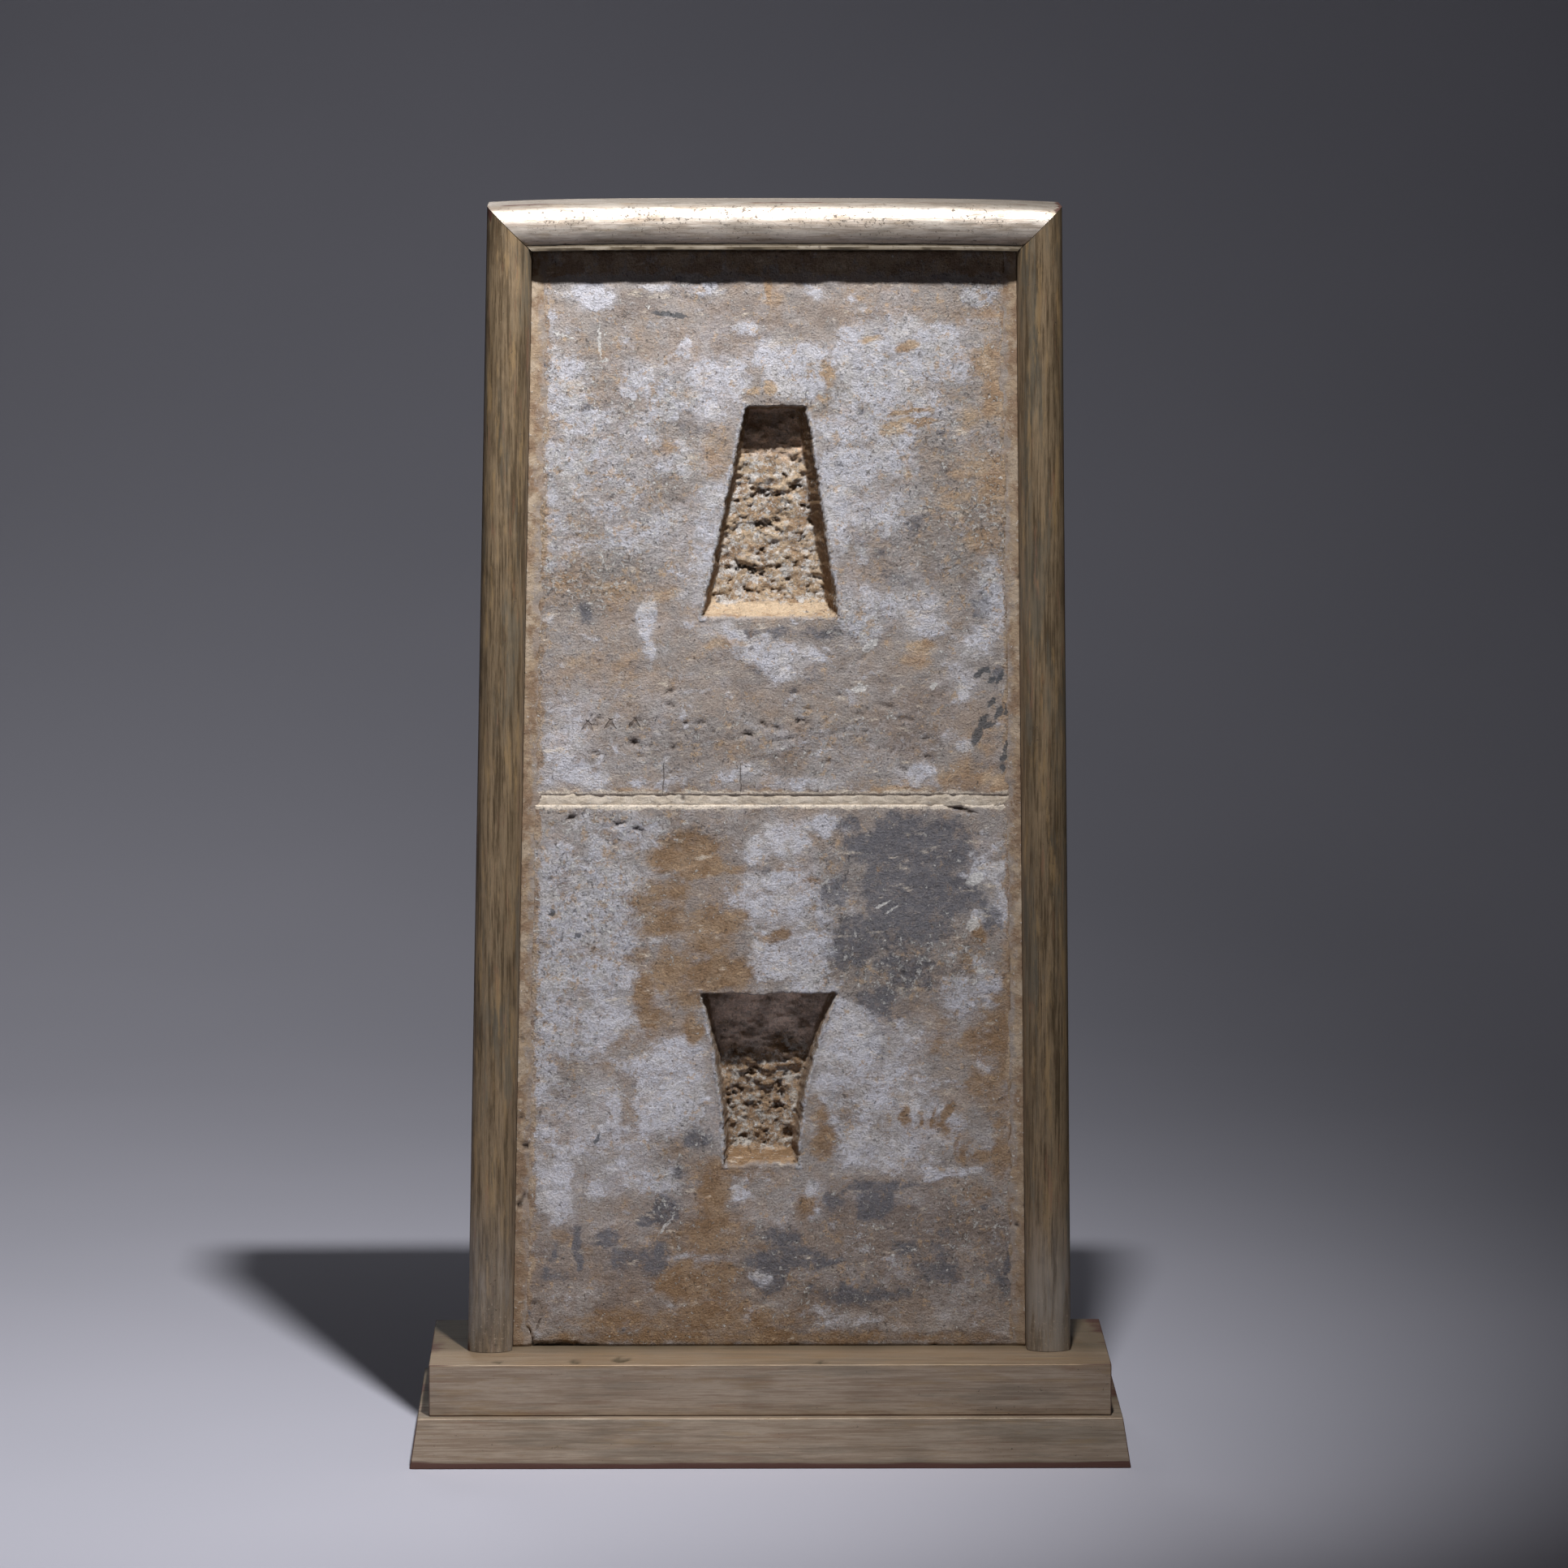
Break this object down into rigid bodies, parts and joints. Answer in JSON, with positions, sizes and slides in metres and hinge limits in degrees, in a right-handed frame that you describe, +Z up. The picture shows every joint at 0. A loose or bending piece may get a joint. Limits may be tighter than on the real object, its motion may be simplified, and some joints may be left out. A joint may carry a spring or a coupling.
{
  "type": "framed carved brick panel",
  "caption": "Upright panel of square grey bricks in a half-round silvered wooden frame on a stepped base, mortise sockets cut in one face and low relief on the other.",
  "frame": {"origin": "middle of the base's underside", "axes": "+Z up, +X to the right seen from the face with the mortise sockets, +Y through the panel from that face to the relief"},
  "size_m": [0.5022, 0.1998, 0.8738],
  "materials": {
    "brick": "matt, weathered grey brick with pale scrapes and ochre stains",
    "mortar": "matt, sandy, uneven",
    "frame_wood": "aged silver leaf over red clay on wood, worn, half gloss",
    "base_wood": "aged silver leaf over red clay on wood, worn, half gloss"
  },
  "bodies": {
    "root": {"brick_upper": "brick", "brick_lower": "brick", "mortar_joint": "mortar", "mortar_left": "mortar", "mortar_right": "mortar", "frame_top_rail": "frame_wood", "frame_left_stile": "frame_wood", "frame_right_stile": "frame_wood", "base_upper_step": "base_wood", "base_lower_step": "base_wood"}
  },
  "joints": []
}
